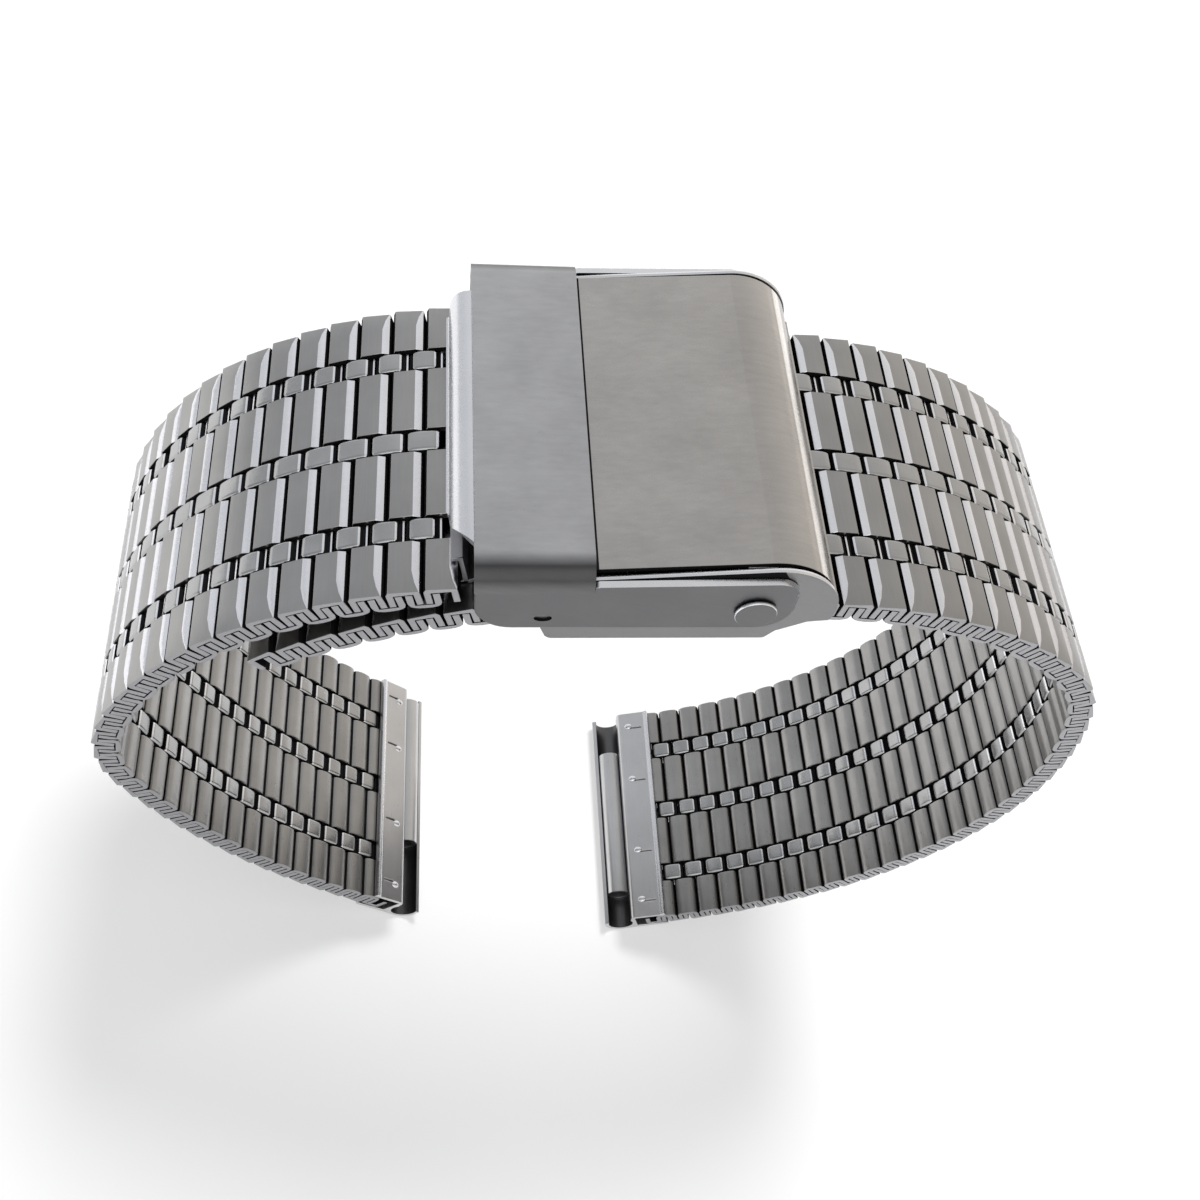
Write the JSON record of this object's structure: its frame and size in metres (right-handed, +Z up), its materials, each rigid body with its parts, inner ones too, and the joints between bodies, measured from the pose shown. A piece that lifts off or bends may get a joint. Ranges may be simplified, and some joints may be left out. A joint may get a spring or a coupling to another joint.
{
  "type": "watch band",
  "caption": "Folded link steel watch band with a sliding fold-over clasp, closed as a ring that stands on its two watch ends.",
  "frame": {"origin": "centre of the closed band's box at the level that its two watch ends stand on", "axes": "+Z up as the closed band stands, +Y across the band's width away from the camera, +X towards the long side, so the lid's end of the clasp is towards -X"},
  "size_m": [0.0654, 0.0232, 0.0582],
  "materials": {
    "plate_steel": "mid grey steel, polished bevels",
    "bar_steel": "mid grey steel, worn satin",
    "clasp_steel": "fine brushed steel, grain across the band",
    "fitting_steel": "rolled satin steel"
  },
  "bodies": {
    "clasp": {"slider_body": "clasp_steel", "hook_bar": "fitting_steel", "hinge_rivets": "fitting_steel", "clasp_plate_links": "plate_steel", "clasp_bar_links": "bar_steel"},
    "lid": {"clasp_lid": "clasp_steel"},
    "flap": {"locking_flap": "clasp_steel"},
    "tail": {"tail_plate_links": "plate_steel", "tail_bar_links": "bar_steel"},
    "short_side_1": {"short_plate_links_1": "plate_steel", "short_bar_links_1": "bar_steel", "band_hook": "fitting_steel"},
    "short_side_2": {"short_plate_links_2": "plate_steel", "short_bar_links_2": "bar_steel"},
    "short_side_3": {"short_plate_links_3": "plate_steel", "short_bar_links_3": "bar_steel"},
    "short_side_4": {"short_plate_links_4": "plate_steel", "short_bar_links_4": "bar_steel"},
    "short_side_5": {"short_plate_links_5": "plate_steel", "short_bar_links_5": "bar_steel"},
    "short_side_6": {"short_plate_links_6": "plate_steel", "short_bar_links_6": "bar_steel"},
    "short_side_7": {"short_plate_links_7": "plate_steel", "short_bar_links_7": "bar_steel", "short_end_clamp": "fitting_steel"},
    "long_side_1": {"long_plate_links_1": "plate_steel", "long_bar_links_1": "bar_steel"},
    "long_side_2": {"long_plate_links_2": "plate_steel", "long_bar_links_2": "bar_steel"},
    "long_side_3": {"long_plate_links_3": "plate_steel", "long_bar_links_3": "bar_steel"},
    "long_side_4": {"long_plate_links_4": "plate_steel", "long_bar_links_4": "bar_steel"},
    "long_side_5": {"long_plate_links_5": "plate_steel", "long_bar_links_5": "bar_steel"},
    "long_side_6": {"long_plate_links_6": "plate_steel", "long_bar_links_6": "bar_steel"},
    "long_side_7": {"long_plate_links_7": "plate_steel", "long_bar_links_7": "bar_steel"},
    "long_side_8": {"long_plate_links_8": "plate_steel", "long_bar_links_8": "bar_steel", "long_end_clamp": "fitting_steel"},
    "short_tube": {"short_bar_tube": "fitting_steel"},
    "long_tube": {"long_bar_tube": "fitting_steel"}
  },
  "joints": [
    {"name": "lid_hinge", "type": "hinge", "parent": "clasp", "child": "lid", "pos_m": [-0.0009, 0, 0.05494], "axis": [0, 1, 0], "range_deg": [0, 120]},
    {"name": "flap_rocker", "type": "hinge", "parent": "clasp", "child": "flap", "pos_m": [-0.0009, 0, 0.05494], "axis": [0, -1, 0], "range_deg": [0, 14]},
    {"name": "hook_swing", "type": "hinge", "parent": "clasp", "child": "short_side_1", "pos_m": [-0.01151, 0, 0.05184], "axis": [0, 1, 0], "range_deg": [0, 30]},
    {"name": "tail_flex", "type": "hinge", "parent": "clasp", "child": "tail", "pos_m": [-0.01084, 0, 0.04988], "axis": [0, -1, 0], "range_deg": [0, 5]},
    {"name": "short_flex_1", "type": "hinge", "parent": "short_side_1", "child": "short_side_2", "pos_m": [-0.02424, 0, 0.04485], "axis": [0, -1, 0], "range_deg": [-4, 2]},
    {"name": "short_flex_2", "type": "hinge", "parent": "short_side_2", "child": "short_side_3", "pos_m": [-0.02985, 0, 0.03689], "axis": [0, -1, 0], "range_deg": [-4, 2]},
    {"name": "short_flex_3", "type": "hinge", "parent": "short_side_3", "child": "short_side_4", "pos_m": [-0.03172, 0, 0.02737], "axis": [0, -1, 0], "range_deg": [-4, 2]},
    {"name": "short_flex_4", "type": "hinge", "parent": "short_side_4", "child": "short_side_5", "pos_m": [-0.02743, 0, 0.01869], "axis": [0, -1, 0], "range_deg": [-4, 2]},
    {"name": "short_flex_5", "type": "hinge", "parent": "short_side_5", "child": "short_side_6", "pos_m": [-0.02096, 0, 0.01135], "axis": [0, -1, 0], "range_deg": [-4, 2]},
    {"name": "short_flex_6", "type": "hinge", "parent": "short_side_6", "child": "short_side_7", "pos_m": [-0.01329, 0, 0.00527], "axis": [0, -1, 0], "range_deg": [-4, 2]},
    {"name": "long_flex_1", "type": "hinge", "parent": "clasp", "child": "long_side_1", "pos_m": [0.00522, 0, 0.05427], "axis": [0, 1, 0], "range_deg": [-4, 2]},
    {"name": "long_flex_2", "type": "hinge", "parent": "long_side_1", "child": "long_side_2", "pos_m": [0.01496, 0, 0.05409], "axis": [0, 1, 0], "range_deg": [-4, 2]},
    {"name": "long_flex_3", "type": "hinge", "parent": "long_side_2", "child": "long_side_3", "pos_m": [0.02392, 0, 0.05028], "axis": [0, 1, 0], "range_deg": [-4, 2]},
    {"name": "long_flex_4", "type": "hinge", "parent": "long_side_3", "child": "long_side_4", "pos_m": [0.02942, 0, 0.04232], "axis": [0, 1, 0], "range_deg": [-4, 2]},
    {"name": "long_flex_5", "type": "hinge", "parent": "long_side_4", "child": "long_side_5", "pos_m": [0.0317, 0, 0.03283], "axis": [0, 1, 0], "range_deg": [-4, 2]},
    {"name": "long_flex_6", "type": "hinge", "parent": "long_side_5", "child": "long_side_6", "pos_m": [0.03094, 0, 0.0231], "axis": [0, 1, 0], "range_deg": [-4, 2]},
    {"name": "long_flex_7", "type": "hinge", "parent": "long_side_6", "child": "long_side_7", "pos_m": [0.02721, 0, 0.01408], "axis": [0, 1, 0], "range_deg": [-4, 2]},
    {"name": "long_flex_8", "type": "hinge", "parent": "long_side_7", "child": "long_side_8", "pos_m": [0.02087, 0, 0.00666], "axis": [0, 1, 0], "range_deg": [-4, 2]},
    {"name": "short_tube_slide", "type": "slide", "parent": "short_side_7", "child": "short_tube", "axis": [0, 1, 0], "range_m": [-0.0059, 0.0005]},
    {"name": "long_tube_slide", "type": "slide", "parent": "long_side_8", "child": "long_tube", "axis": [0, 1, 0], "range_m": [-0.0027, 0.0037]}
  ],
  "couplings": [
    {"joint": "hook_swing", "follows": "lid_hinge", "ratio": 0.25}
  ]
}
